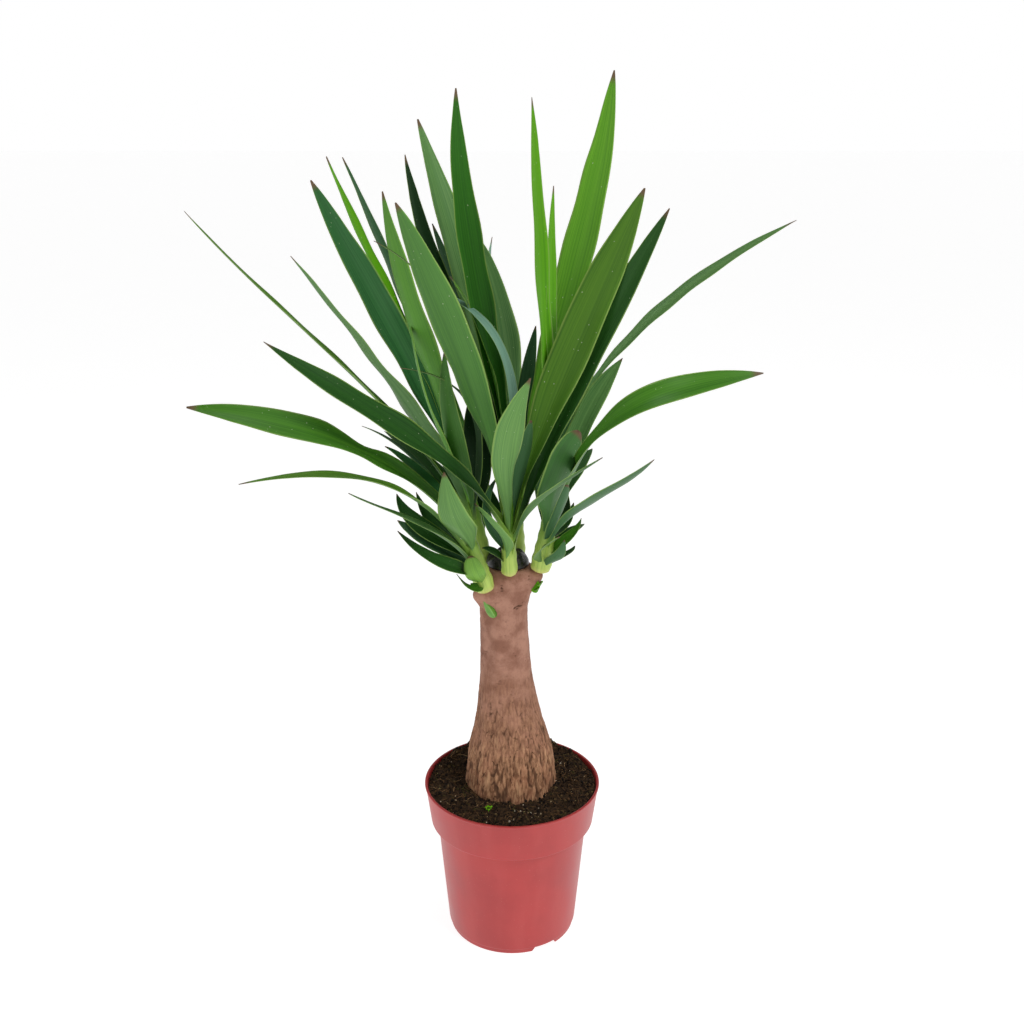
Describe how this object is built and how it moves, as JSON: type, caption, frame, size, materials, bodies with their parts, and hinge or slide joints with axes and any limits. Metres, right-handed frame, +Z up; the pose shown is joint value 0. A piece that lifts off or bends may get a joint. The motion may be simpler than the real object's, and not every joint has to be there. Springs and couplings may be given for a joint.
{
  "type": "potted yucca",
  "caption": "Young yucca on a thick cut cane: sword-shaped leaves in heads round its top, standing in soil in a round plastic nursery pot.",
  "frame": {"origin": "centre of the pot's base, on the surface that the pot stands on", "axes": "+Z up along the plant's height, -Y towards the front"},
  "size_m": [0.5383, 0.3742, 0.8098],
  "materials": {
    "pot_plastic": "satin",
    "soil": "matte",
    "bark": "matte",
    "wax": "satin",
    "leaf": "satin",
    "shoot": "satin"
  },
  "bodies": {
    "root": {"pot": "pot_plastic", "soil": "soil", "trunk": "bark", "wax_seal": "wax", "head_left": "leaf", "head_middle": "leaf", "head_right": "leaf", "head_back_left": "leaf", "head_back": "leaf", "bud_left": "shoot", "sprout_right": "shoot"}
  },
  "joints": []
}
